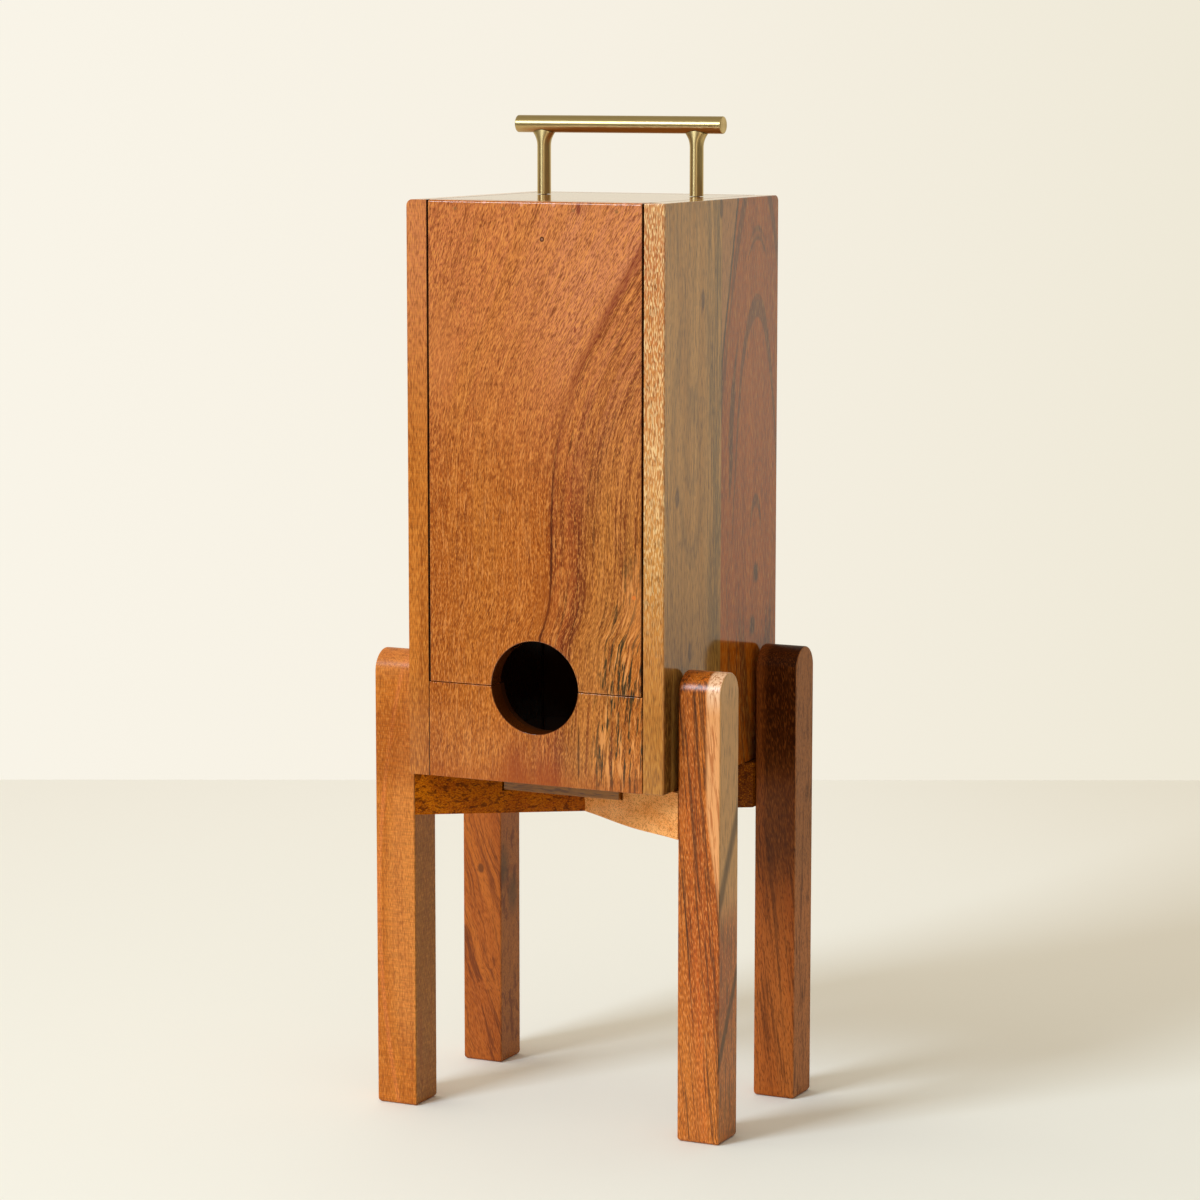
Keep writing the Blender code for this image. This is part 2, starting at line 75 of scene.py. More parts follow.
# Studio
# A pale cream sweep with its fold a little over a metre behind the stand, a large soft lamp
# in front on the left, and cream light from the walls all round.
class Finish:
    """A material, the world or a lamp in the making. Each step adds to its shader nodes."""

    def __init__(self, owner):
        owner.use_nodes = True
        self.tree = owner.node_tree
        self.tree.nodes.clear()

    def add(self, kind, inputs=None, **settings):
        """Add a node, set it up, and fill its inputs with values or with other nodes' outputs."""
        node = self.tree.nodes.new("ShaderNode" + kind)
        for name, value in settings.items():
            setattr(node, name, value)
        for name, value in (inputs or {}).items():
            socket = node.inputs[name]
            if isinstance(value, bpy.types.NodeSocket):
                self.tree.links.new(value, socket)
            elif socket.type == "RGBA" and len(value) == 3:
                socket.default_value = (*value, 1)
            else:
                socket.default_value = value
        return node

    def math(self, operation, first, second=0.0, clamp=False):
        """One sum on one or two numbers."""
        return self.add("Math", {0: first, 1: second}, operation=operation, use_clamp=clamp).outputs[0]

    def times(self, first, second):
        """One number times another, or the part where two shares overlap."""
        return self.math("MULTIPLY", first, second)

    def vector(self, operation, first, second):
        """One sum on two vectors."""
        done = self.add("VectorMath", {0: first, 1: second}, operation=operation)
        return done.outputs["Value" if operation in ("DOT_PRODUCT", "DISTANCE") else "Vector"]

    def mix(self, share, first, second, how="MIX"):
        """Blend two colours."""
        blend = self.add("Mix", {0: share, 6: first, 7: second}, data_type="RGBA", blend_type=how)
        return blend.outputs[2]

    def ease(self, value, low, high, start=0.0, end=1.0):
        """Turn low to high into start to end, smoothly and no further."""
        found = self.add("MapRange", {0: value, 1: low, 2: high, 3: start, 4: end},
                         interpolation_type="SMOOTHSTEP")
        return found.outputs[0]

    def near_line(self, distance, reach, core):
        """Where a distance to either side of a line is small, 0 to 1."""
        return self.ease(self.math("ABSOLUTE", distance), reach, core)

    def ramp(self, value, stops):
        """A colour for each place along 0 to 1, blended between."""
        scale = self.add("ValToRGB", {0: value})
        points = scale.color_ramp.elements
        while len(points) < len(stops):
            points.new(1)
        for point, (place, colour) in zip(points, stops):
            point.position = place
            point.color = (*colour, 1)
        return scale.outputs[0]


def paint(red, green, blue, strength=1.0):
    """A colour as mixed on a screen, 0 to 255 each, in the shader's own linear numbers."""
    return tuple(strength * (level / 255) ** 2.2 for level in (red, green, blue))


sweep_fold = 1.258
sweep_width = 6.0
sweep_front = 1.1
sweep_near = paint(237, 237, 229)
sweep_far = paint(243, 242, 235)
sweep_shaded_right = paint(234, 231, 220)
backdrop_left = paint(249, 244, 231)
backdrop_middle = paint(246, 240, 226)
backdrop_right = paint(238, 232, 214)
view_half_width = 0.16
shade_reach = (0.10, 0.70)
fill_light = (0.79, 0.715, 0.595)
dark_side = Vector((0.78, 0.12, 0))
shine_back = (0.90, 0.84, 0.68)
shine_low = (0.55, 0.52, 0.44)
shine_above = (0.41, 0.39, 0.33)
shine_front = (0.20, 0.185, 0.155)
behind_reach = (0.1, 0.6)
low_reach = (-0.05, -0.19)
above_reach = (0.25, 0.60)
window_azimuth = math.radians(19)
window_reach = (0.16, 0.08)
window_side = 0.3
window_light = (1.5, 1.4, 1.2)

away = Vector((-math.sin(camera_turn), math.cos(camera_turn), 0))
across = Vector((math.cos(camera_turn), math.sin(camera_turn), 0))

bpy.ops.object.select_all(action="DESELECT")
sweep_depth = sweep_fold + sweep_front
bpy.ops.mesh.primitive_plane_add(size=1, location=away * (sweep_fold - sweep_depth / 2),
                                 rotation=(0, 0, camera_turn))
sweep = bpy.context.object
bpy.ops.transform.resize(value=(sweep_width, sweep_depth, 1), orient_type="LOCAL")
bpy.ops.object.transform_apply(location=False, rotation=False, scale=True)
sweep.name = "studio_floor"
sweep_material = bpy.data.materials.new("sweep_paper")
paper = Finish(sweep_material)
depth = paper.vector("DOT_PRODUCT", paper.add("TexCoord").outputs["Object"], (0, 1, 0))
# Painted light and shade: the paper is a little lighter toward the fold, and darker at the far right.
far = paper.ease(depth, sweep_depth / 2 - sweep_fold, sweep_depth / 2)
paper_colour = paper.mix(far, sweep_near, sweep_far)
across_paper = paper.vector("DOT_PRODUCT", paper.add("TexCoord").outputs["Object"], (1, 0, 0))
painted_right_shade = paper.ease(across_paper, *shade_reach)
paper_colour = paper.mix(paper.times(painted_right_shade, far), paper_colour, sweep_shaded_right)
paper_shader = paper.add("BsdfPrincipled", {"Base Color": paper_colour, "Roughness": 0.9,
                                            "Specular IOR Level": 0.1})
paper.add("OutputMaterial", {0: paper_shader.outputs[0]})
sweep.data.materials.append(sweep_material)

studio = bpy.data.worlds.new("studio")
bpy.context.scene.world = studio
walls = Finish(studio)
rays = walls.add("LightPath").outputs
looking = walls.add("TexCoord").outputs["Generated"]
# Painted shade: the backdrop seen behind is lighter on the left and darker on the right.
seen_share = walls.add("MapRange", {0: walls.vector("DOT_PRODUCT", looking, across),
                                    1: -view_half_width, 2: view_half_width})
seen = walls.ramp(seen_share.outputs[0], [(0.0, backdrop_left), (0.5, backdrop_middle), (1.0, backdrop_right)])
behind = walls.ease(walls.vector("DOT_PRODUCT", looking, away), *behind_reach)
lower = walls.ease(walls.vector("DOT_PRODUCT", looking, (0, 0, 1)), *low_reach)
shine = walls.mix(behind, shine_front, walls.mix(lower, shine_back, shine_low))
above = walls.ease(walls.vector("DOT_PRODUCT", looking, (0, 0, 1)), *above_reach)
shine = walls.mix(above, shine, shine_above)
toward_window = Vector((math.sin(window_azimuth), -math.cos(window_azimuth), 0))
past_window = Vector((math.cos(window_azimuth), math.sin(window_azimuth), 0))
off_window = walls.math("ABSOLUTE", walls.vector("DOT_PRODUCT", looking, past_window))
window = walls.times(
    walls.ease(off_window, *window_reach),
    walls.math("GREATER_THAN", walls.vector("DOT_PRODUCT", looking, toward_window), window_side),
)
shine = walls.mix(window, shine, window_light)
mirrored = walls.math("MAXIMUM", rays["Is Glossy Ray"], rays["Is Transmission Ray"])
slant = walls.math("SUBTRACT", 1.0, walls.vector("DOT_PRODUCT", looking, dark_side))
fading = walls.add("CombineXYZ", {0: slant, 1: slant, 2: slant}).outputs[0]
fill = walls.mix(1.0, fill_light, fading, "MULTIPLY")
light = walls.mix(mirrored, fill, shine)
light = walls.mix(rays["Is Camera Ray"], light, seen)
walls.add("OutputWorld", {0: walls.add("Background", {0: light, 1: 1.0}).outputs[0]})

lamp_distance = 1.75
lamp_azimuth = math.radians(-24)
lamp_elevation = math.radians(33)
lamp_size = 0.50
lamp_power = 17.0
lamp_colour = (0.74, 0.86, 1.0)
lamp_target = Vector((0, 0, 0.33))

lamp_data = bpy.data.lights.new("softbox", "AREA")
lamp_data.shape = "SQUARE"
lamp_data.size = lamp_size
lamp_data.energy = lamp_power
lamp_data.color = lamp_colour
steady = Finish(lamp_data)
spread = steady.add("LightFalloff", {"Strength": lamp_distance ** -2}).outputs["Constant"]
steady.add("OutputLight", {0: steady.add("Emission", {"Strength": spread}).outputs[0]})
lamp = bpy.data.objects.new("softbox", lamp_data)
bpy.context.scene.collection.objects.link(lamp)
lamp_direction = Vector((
    math.sin(lamp_azimuth) * math.cos(lamp_elevation),
    -math.cos(lamp_azimuth) * math.cos(lamp_elevation),
    math.sin(lamp_elevation),
))
lamp.location = lamp_target + lamp_distance * lamp_direction
lamp.rotation_euler = lamp_direction.to_track_quat("Z", "Y").to_euler()


# Sliding door
# One wide acacia board with a tongue down each edge, which slides up out of the grooves in the
# sides. The upper half of the tap hole is bored through its foot, and its edges are sanded.
def add_block(name, low, high):
    """A cube stretched between two corners, with its place in its mesh."""
    bpy.ops.object.select_all(action="DESELECT")
    middle = (Vector(low) + Vector(high)) / 2
    bpy.ops.mesh.primitive_cube_add(size=1, location=middle, scale=Vector(high) - Vector(low))
    block = bpy.context.object
    block.name = name
    block.data.name = name
    bpy.ops.object.transform_apply(location=True, rotation=True, scale=True)
    return block


def work_on(piece):
    """Make this the only selected object."""
    bpy.ops.object.select_all(action="DESELECT")
    piece.select_set(True)
    bpy.context.view_layer.objects.active = piece


def shaped(piece, kind, **settings):
    """Put a modifier on the piece and apply it at once."""
    work_on(piece)
    step = piece.modifiers.new(kind.lower(), kind)
    for name, value in settings.items():
        setattr(step, name, value)
    bpy.ops.object.modifier_apply(modifier=step.name)


def carve(piece, tool, operation="DIFFERENCE"):
    """Cut a tool out of the piece, or join it on, and throw the tool away."""
    shaped(piece, "BOOLEAN", operation=operation, solver="EXACT", object=tool)
    bpy.data.objects.remove(tool, do_unlink=True)


def round_off(piece, at_edge, radius, steps):
    """Round the edges whose two ends pass a test of place."""
    work_on(piece)
    bpy.ops.object.mode_set(mode="EDIT")
    bpy.ops.mesh.select_mode(type="EDGE")
    bpy.ops.mesh.select_all(action="DESELECT")
    bpy.ops.object.mode_set(mode="OBJECT")
    spots = piece.data.vertices
    for edge in piece.data.edges:
        edge.select = all(at_edge(spots[end].co) for end in edge.vertices)
    bpy.ops.object.mode_set(mode="EDIT")
    bpy.ops.mesh.bevel(offset=radius, segments=steps, affect="EDGES")
    bpy.ops.object.mode_set(mode="OBJECT")


sharp_angle = math.radians(35)


def sand(piece, easing, steps=3):
    """Ease every sharp edge, and let light run smoothly over the small rounds."""
    shaped(piece, "BEVEL", width=easing, segments=steps, limit_method="ANGLE", angle_limit=sharp_angle)
    work_on(piece)
    bpy.ops.object.shade_smooth_by_angle(angle=sharp_angle)
    shaped(piece, "WEIGHTED_NORMAL", keep_sharp=True)


def finish_piece(piece, material, slot, body, *stands_for):
    """Give the piece its material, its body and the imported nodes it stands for."""
    piece.data.materials.clear()
    piece.data.materials.append(material)
    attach(piece, body)
    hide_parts(*stands_for)


near = 0.0002
tongue_depth = 0.0050
tongue_setback = 0.0050
hole_radius = 0.034
hole_middle = 0.318
hole_sides = 128
through = 0.03
door_easing = 0.0009
door_top_rounding = 0.0018
door_rounding_steps = 4
left_gap = 0.0008
right_gap = 0.0012
saw_cut = 0.0020

door_low, door_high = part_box("sliding_door")
inner_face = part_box("right_side_panel")[0].x
door = add_block("door_board", (left_gap - inner_face, door_low.y, door_low.z),
                 (inner_face - right_gap, door_high.y, door_high.z))
tongue_front = door_low.y + tongue_setback
tongues = add_block("door_tongues", (door_low.x, tongue_front, door_low.z),
                    (door_high.x, tongue_front + tongue_depth, door_high.z))
carve(door, tongues, "UNION")


def bore_hole(piece, level):
    """Drill the tap hole's circle through a front piece."""
    bpy.ops.object.select_all(action="DESELECT")
    bpy.ops.mesh.primitive_cylinder_add(vertices=hole_sides, radius=hole_radius, depth=2 * through,
                                        location=(0, door_low.y, level), rotation=(math.pi / 2, 0, 0))
    carve(piece, bpy.context.object)


bore_hole(door, hole_middle)
round_off(door, lambda at: at.y < door_low.y + near and at.z > door_high.z - near,
          door_top_rounding, door_rounding_steps)
sand(door, door_easing)


class Wood(Finish):
    """Acacia under clear lacquer. The grain runs upward, unless its frame is turned."""

    def __init__(self, name, colour, turn=(0, 0, 0), wander=0.003, along=4, lean=0.0):
        self.material = bpy.data.materials.new(name)
        super().__init__(self.material)
        self.colour = colour
        place = self.add("TexCoord").outputs["Object"]
        self.here = self.add("Mapping", {0: place, 2: turn}, vector_type="TEXTURE").outputs[0]
        slow = self.add("TexNoise", {"Vector": self.stretch(self.here, 14, along), "Scale": 1.0, "Detail": 2.0})
        sway = self.vector("SUBTRACT", slow.outputs["Color"], (0.5, 0.5, 0.5))
        sway = self.vector("MULTIPLY", sway, (2 * wander, 2 * wander, 0))
        leaning = self.add("CombineXYZ", {0: self.times(self.side(2), lean)}).outputs[0]
        sway = self.vector("ADD", sway, leaning)
        self.grain = self.vector("ADD", self.here, sway)

    def stretch(self, at, across_grain, along_grain):
        """Scale a place for a pattern that runs along the grain."""
        return self.vector("MULTIPLY", at, (across_grain, across_grain, along_grain))

    def side(self, axis, at=None):
        """How far across (0), through (1) or along (2) the grain's frame a place lies."""
        return self.add("SeparateXYZ", {0: at or self.here}).outputs[axis]

    def fade(self, low, high, axis=2):
        """Fade in from one place to another along an axis, which is the grain's if none is given."""
        return self.ease(self.side(axis), low, high)

    def noise(self, across_grain, along_grain, detail=2.0, seed=0.0):
        """Grainy noise, 0 to 1."""
        at = self.vector("ADD", self.stretch(self.grain, across_grain, along_grain), (seed, seed, seed))
        return self.add("TexNoise", {"Vector": at, "Scale": 1.0, "Detail": detail, "Roughness": 0.6}).outputs[0]

    def streaks(self, across_grain, along_grain, low, high, seed=0.0):
        """Where soft long streaks lie, 0 to 1."""
        return self.ease(self.noise(across_grain, along_grain, 4.0, seed), low, high)

    def tint(self, share, colour, amount=1.0):
        """Lay another colour over part of the wood."""
        self.colour = self.mix(self.times(share, amount), self.colour, colour)

    def streak(self, colour, amount, across_grain, along_grain, low, high, seed=0.0):
        """Lay another colour over the wood in soft long streaks."""
        self.tint(self.streaks(across_grain, along_grain, low, high, seed), colour, amount)

    def spots(self, places, size, longer=1.0, edge=0.5, axis=0):
        """Small round or long spots at places across and along the face."""
        flat = self.vector("MULTIPLY", self.here, (axis == 0, axis == 1, 1 / longer))
        nearest = 1.0
        for across_face, along_face in places:
            place = (across_face * (axis == 0), across_face * (axis == 1), along_face / longer)
            gap = self.vector("DISTANCE", flat, place)
            nearest = self.math("MINIMUM", nearest, gap)
        return self.ease(nearest, size, size * edge)

    def curl(self, amount, across_grain=60, along_grain=750, seed=0.0):
        """Fine ripples across the grain, as in curly wood."""
        wave = self.noise(across_grain, along_grain, 1.0, seed)
        level = self.add("MapRange", {0: wave, 1: 0.3, 2: 0.7, 3: 1 - amount, 4: 1 + amount}).outputs[0]
        shade = self.add("CombineXYZ", {0: level, 1: level, 2: level}).outputs[0]
        self.colour = self.mix(1.0, self.colour, shade, "MULTIPLY")

    def rings(self, middle, longer, often, low, high, seed=0.0):
        """Growth rings that a flat cut turns into long ovals: where their dark lines lie, 0 to 1."""
        flat = self.vector("MULTIPLY", self.grain, (middle[0] != 0, middle[1] != 0, 1 / longer))
        outward = self.vector("DISTANCE", flat, (middle[0], middle[1], middle[2] / longer))
        at = self.add("CombineXYZ", {0: self.times(outward, often), 1: seed,
                                     2: self.times(self.side(2), 5.0)}).outputs[0]
        wave = self.add("TexNoise", {"Vector": at, "Scale": 1.0, "Detail": 3.0}).outputs[0]
        return self.ease(wave, low, high)

    def speckle(self, dark, pale, dark_share=0.6, pale_share=0.5, across_grain=1300, along_grain=140):
        """Short pores and pale fibres, a millimetre wide or less."""
        fine = self.noise(across_grain, along_grain, 0.0, 5.0)
        self.tint(self.ease(fine, 0.54, 0.70), pale, pale_share)
        self.tint(self.ease(fine, 0.46, 0.30), dark, dark_share)
        dashes = self.streaks(800, 110, 0.60, 0.70, 3.1)
        self.tint(dashes, dark, dark_share)
        self.relief = self.math("SUBTRACT", fine, dashes)

    def paint_hidden_shade(self, share, colour=(0.060, 0.018, 0.005)):
        """Painted shade: hidden faces, inside the cabinet, in its gaps and underneath, are painted a nearly
        black brown, where shade falls. The grain still shows a little.
        """
        self.tint(share, colour, 0.93)

    def lacquer(self, coat=1.0, gloss=0.10, depth=0.00008):
        """Clear lacquer over the colour. It dips a little where the pores are."""
        bump = self.add("Bump", {"Strength": 0.5, "Distance": depth, "Height": self.relief})
        shader = self.add("BsdfPrincipled", {
            "Base Color": self.colour, "Roughness": 0.6, "Specular IOR Level": 0.0,
            "Normal": bump.outputs[0], "Coat Weight": coat, "Coat Roughness": gloss,
        })
        self.add("OutputMaterial", {0: shader.outputs[0]})
        return self.material


cabinet_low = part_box("right_side_panel")[0].z
cabinet_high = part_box("right_side_panel")[1].z
half_plank = 0.084
lean_reach = 0.110
left_lean_share = 0.35
lean_points = (
    (0.0, -0.02), (0.10, 0.0), (0.253, 0.061), (0.275, 0.10), (0.323, 0.156), (0.392, 0.172), (0.474, 0.175),
    (0.527, 0.187), (0.581, 0.218), (0.64, 0.278), (0.699, 0.357), (0.737, 0.422), (0.772, 0.495),
    (0.819, 0.581), (0.872, 0.676), (0.928, 0.765), (1.0, 0.865),
)
bands = (
    (-0.190, paint(160, 84, 32)), (-0.140, paint(174, 94, 34)), (-0.100, paint(162, 84, 28)),
    (-0.050, paint(172, 94, 32)), (-0.020, paint(176, 97, 36)), (-0.004, paint(164, 86, 28)),
    (0.001, paint(132, 60, 24)), (0.004, paint(158, 76, 34)), (0.012, paint(158, 80, 38)),
    (0.021, paint(132, 68, 32)), (0.027, paint(156, 92, 40)), (0.038, paint(178, 112, 52)),
    (0.050, paint(182, 114, 54)), (0.057, paint(160, 100, 46)), (0.066, paint(184, 108, 46)),
    (0.092, paint(176, 100, 40)),
)
band_span = (bands[0][0], bands[-1][0])


def front_wood(name):
    """The door and the panel below were cut from one plank, so the figure runs on."""
    wood = Wood(name, None, wander=0.0014)
    height = wood.add("MapRange", {0: wood.side(2), 1: cabinet_low, 2: cabinet_high}).outputs[0]
    bow = wood.add("FloatCurve", {"Value": height})
    curve = bow.mapping.curves[0]
    for place, value in lean_points[1:-1]:
        curve.points.new(place, value)
    curve.points[0].location = lean_points[0]
    curve.points[-1].location = lean_points[-1]
    bow.mapping.update()
    reach = wood.add("MapRange", {0: wood.side(0), 1: -half_plank, 2: half_plank,
                                  3: left_lean_share * lean_reach, 4: lean_reach}).outputs[0]
    lean = wood.times(bow.outputs[0], reach)
    wood.grain = wood.vector("SUBTRACT", wood.grain, wood.add("CombineXYZ", {0: lean}).outputs[0])
    span = band_span[1] - band_span[0]
    from_line = wood.side(0, wood.grain)
    band = wood.add("MapRange", {0: from_line, 1: band_span[0], 2: band_span[1]}).outputs[0]
    wood.colour = wood.ramp(band, [((place - band_span[0]) / span, tone) for place, tone in bands])
    # The upper door is lighter and pinker, partly the plank's own tone and partly a painted sheen of light on
    # the lacquer.
    top = wood.fade(0.42, 0.62)
    wood.tint(top, paint(204, 122, 74), 0.70)
    wood.tint(wood.times(top, wood.fade(-0.04, 0.05, axis=0)), paint(214, 142, 104), 0.45)
    right = wood.ease(from_line, -0.003, 0.004)
    wood.tint(wood.times(right, top), paint(166, 88, 50), 0.45)
    wood.streak(paint(192, 116, 48), 0.45, 95, 6, 0.42, 0.70)
    wood.streak(paint(132, 66, 26), 0.36, 340, 14, 0.50, 0.70, 2.0)
    wood.streak(paint(210, 132, 68), 0.32, 300, 12, 0.52, 0.70, 7.0)
    wood.streak(paint(100, 42, 16), 0.60, 1300, 170, 0.56, 0.64, 4.0)
    wood.tint(wood.times(wood.streaks(380, 9, 0.49, 0.62, 5.5), right), paint(108, 48, 24), 0.70)
    wood.tint(wood.times(wood.streaks(640, 24, 0.57, 0.65, 15.0), right), paint(66, 34, 22), 0.65)
    wood.streak(paint(104, 46, 22), 0.45, 260, 16, 0.62, 0.70, 8.5)
    wood.speckle(paint(94, 40, 12), paint(236, 156, 76), 0.50, 0.42, 2100, 360)
    wood.streak(paint(104, 44, 16), 0.45, 1000, 80, 0.56, 0.63, 21.0)
    wood.streak(paint(232, 152, 82), 0.45, 1000, 70, 0.57, 0.64, 23.0)
    vein = wood.times(wood.near_line(from_line, 0.0045, 0.0005), top)
    wood.tint(vein, paint(120, 46, 32), 0.55)
    edge = wood.near_line(from_line, 0.0012, 0.0004)
    above_hole = wood.times(wood.fade(hole_middle, hole_middle + hole_radius), wood.fade(0.54, 0.40))
    wood.tint(wood.times(edge, above_hole), paint(60, 22, 12), 0.85)
    corner = wood.times(wood.ease(from_line, 0.040, 0.054), wood.fade(0.44, 0.38))
    wood.tint(wood.times(corner, wood.streaks(560, 46, 0.52, 0.58, 9.0)), paint(40, 44, 30), 0.9)
    wood.tint(wood.times(corner, wood.streaks(420, 40, 0.56, 0.64, 12.0)), paint(228, 152, 84), 0.8)
    return wood


bore_edges = (hole_radius + 0.0006, hole_radius + 0.0002)
hidden_shade_setback = 0.0142


def front_bore_and_hidden_shade(wood, level, reach):
    """The bore of the tap hole is browner, and the board's ends and back are painted dark as shade."""
    from_axis = wood.vector("DISTANCE", wood.vector("MULTIPLY", wood.here, (1, 0, 1)), (0, 0, level))
    wood.tint(wood.ease(from_axis, *bore_edges), paint(70, 32, 12), 0.9)
    wood.paint_hidden_shade(wood.math("GREATER_THAN", wood.math("ABSOLUTE", wood.side(0)), reach))
    wood.paint_hidden_shade(wood.math("GREATER_THAN", wood.side(1), door_low.y + hidden_shade_setback))


door_wood = front_wood("door_acacia")
front_bore_and_hidden_shade(door_wood, hole_middle, inner_face - right_gap - near)
top_knot = (0.0064, 0.6340)
pale_dents = ((-0.0384, 0.6588), (-0.0095, 0.6576), (0.0153, 0.6578), (0.0689, 0.6592))
dark_dents = ((-0.0613, 0.6543), (-0.0236, 0.6548), (0.0307, 0.6542), (0.0635, 0.6540))
for places, size, longer, edge, tone, share in (
        ((top_knot,), 0.0024, 1, 0.5, paint(64, 30, 20), 1.0),
        (((0.0773, 0.3878),), 0.0020, 1, 0.5, paint(226, 104, 28), 0.8),
        (((0.0346, 0.6553),), 0.0022, 2.5, 0.5, paint(116, 44, 40), 0.7),
        (((0.0318, 0.5720),), 0.0012, 2.5, 0.5, paint(110, 40, 34), 0.7),
        (((0.0084, 0.3800),), 0.0120, 3, 0.1, paint(146, 70, 20), 0.4),
        (((-0.0740, 0.5560),), 0.0200, 3, 0.1, paint(206, 126, 70), 0.35),
        (((0.0780, 0.3800),), 0.0150, 3, 0.1, paint(210, 134, 72), 0.4),
        ((top_knot,), 0.0012, 1, 0.5, paint(150, 100, 76), 1.0),
        (pale_dents, 0.0017, 1, 0.5, paint(224, 156, 126), 0.7),
        (dark_dents, 0.0017, 1, 0.5, paint(132, 96, 60), 0.6)):
    door_wood.tint(door_wood.spots(places, size, longer, edge), tone, share)
finish_piece(door, door_wood.lacquer(), "door_wood", "door", "sliding_door")


# Lower front panel
# The fixed piece below the door, from the same plank, tongued and glued between the sides.
# The tap hole was bored before the two were sawn apart, so its lower half is a saw cut short.
panel_seam = 0.0002
panel_easing = 0.0004
lower_low, lower_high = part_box("lower_front_panel")
lower_front = add_block("lower_front_board", (panel_seam - inner_face, lower_low.y, lower_low.z),
                        (inner_face - panel_seam, lower_high.y, lower_high.z))
tongues = add_block("lower_tongues", (lower_low.x, tongue_front, lower_low.z),
                    (lower_high.x, tongue_front + tongue_depth, lower_high.z))
carve(lower_front, tongues, "UNION")
bore_hole(lower_front, hole_middle + saw_cut)
sand(lower_front, panel_easing)
lower_wood = front_wood("lower_front_acacia")
front_bore_and_hidden_shade(lower_wood, hole_middle + saw_cut, inner_face + near)
red_patches = ((-0.0150, 0.2500), (0.0100, 0.2450))
lower_wood.tint(lower_wood.spots(red_patches, 0.0200, longer=2, edge=0.2), paint(136, 54, 12), 0.65)
lower_wood.tint(lower_wood.fade(0.272, 0.246), paint(158, 76, 0), 0.45)
lower_wood.tint(lower_wood.spots(((0.0345, 0.2750),), 0.0012, longer=22), paint(70, 40, 24), 0.7)
finish_piece(lower_front, lower_wood.lacquer(coat=0.75), "front_wood", "cabinet", "lower_front_panel")


# Side panels
# Each side is two boards glued edge to edge, grooved down its inner front for the door's
# tongue. The outer edges are eased by hand, most at the back and at the left side's top.
side_easing = 0.0011
top_rounding = 0.0045
rounding_steps = 8
groove_depth = 0.0050
groove_play = 0.0004
groove_front = tongue_front - groove_play
groove_width = 0.0058
inside_edge = inner_face + 0.0004


def side_board(name, node, groove_inner, groove_outer):
    """A side panel with its groove, and its top edge rounded at the back, on the left outside too."""
    low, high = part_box(node)
    board = add_block(name, low, high)
    round_off(board, lambda at: at.y > high.y - near and at.z > high.z - near, top_rounding, rounding_steps)
    if low.x < 0:
        round_off(board, lambda at: at.x < low.x + near and at.z > high.z - top_rounding - near,
                  top_rounding, rounding_steps)
    carve(board, add_block("groove", (min(groove_inner, groove_outer), groove_front, low.z - through),
                           (max(groove_inner, groove_outer), groove_front + groove_width, high.z + through)))
    sand(board, side_easing)
    return board


left_side = side_board("left_side_board", "left_side_panel", through - inner_face, -inner_face - groove_depth)
right_side = side_board("right_side_board", "right_side_panel", inner_face - through, inner_face + groove_depth)


def acacia(name, tone, pale, dark, pore, turn=(0, 0, 0), seed=0.0, wander=0.003, along=4, lean=0.0):
    """Straight grained wood with broad pale bands and narrow dark veins."""
    wood = Wood(name, tone, turn, wander, along, lean)
    wood.streak(pale, 1.0, 85, 4, 0.36, 0.68, seed)
    wood.streak(dark, 0.6, 190, 7, 0.56, 0.74, seed + 2.2)
    wood.pore = pore
    wood.fibre = pale
    return wood


left_wood = acacia("left_side_acacia", paint(174, 98, 34), paint(194, 114, 44), paint(146, 74, 24),
                   paint(96, 44, 12), seed=4.0)
left_wood.tint(left_wood.fade(0.46, 0.64), paint(200, 123, 76), 0.85)
left_wood.tint(left_wood.fade(0.34, 0.30), paint(156, 86, 30), 0.6)
left_wood.curl(0.08)
left_wood.speckle(left_wood.pore, paint(228, 150, 68), 0.45, 0.4, 1800, 240)
# Painted shade on the inner face and the groove.
left_wood.paint_hidden_shade(left_wood.math("GREATER_THAN", left_wood.side(0), -inside_edge))
finish_piece(left_side, left_wood.lacquer(), "side_wood", "cabinet", "left_side_panel")

# The right side's front board is pale, with grey streaks beside the seam. Its rear board is
# red, with dark arches and two knots, and a pale wedge of the front one's colour runs into it.
board_seam = -0.002
wedge_slope = 0.238
wedge_start = 0.132
rear_knots = ((0.0610, 0.3880), (0.0550, 0.3500))
small_knots = ((-0.0350, 0.5910), (-0.0770, 0.4560), (-0.0550, 0.3450), (-0.0040, 0.6540))
right_wood = acacia("right_side_acacia", paint(191, 133, 62), paint(215, 157, 84), paint(150, 104, 50),
                    paint(92, 62, 34), seed=9.0, wander=0.0035, along=7)
board_depth = right_wood.side(1)
right_wood.tint(right_wood.rings((0, -0.052, 0.640), 7, 130, 0.54, 0.62, 1.0), paint(134, 98, 52), 0.4)
right_wood.streak(paint(118, 86, 46), 0.5, 620, 10, 0.52, 0.66, 8.0)
right_wood.tint(right_wood.rings((0, -0.050, 0.330), 6, 110, 0.55, 0.63, 6.0), paint(134, 96, 48), 0.4)
beside_seam = right_wood.ease(board_depth, -0.036, -0.014)
right_wood.tint(right_wood.times(beside_seam, right_wood.streaks(330, 12, 0.42, 0.56, 3.0)),
                paint(108, 88, 52), 0.75)
right_wood.tint(right_wood.fade(0.46, 0.34), paint(134, 93, 40), 0.38)
rear = right_wood.math("GREATER_THAN", board_depth, board_seam)
rear_tone = right_wood.mix(right_wood.streaks(85, 5, 0.36, 0.64, 2.0), paint(166, 80, 4), paint(184, 94, 8))
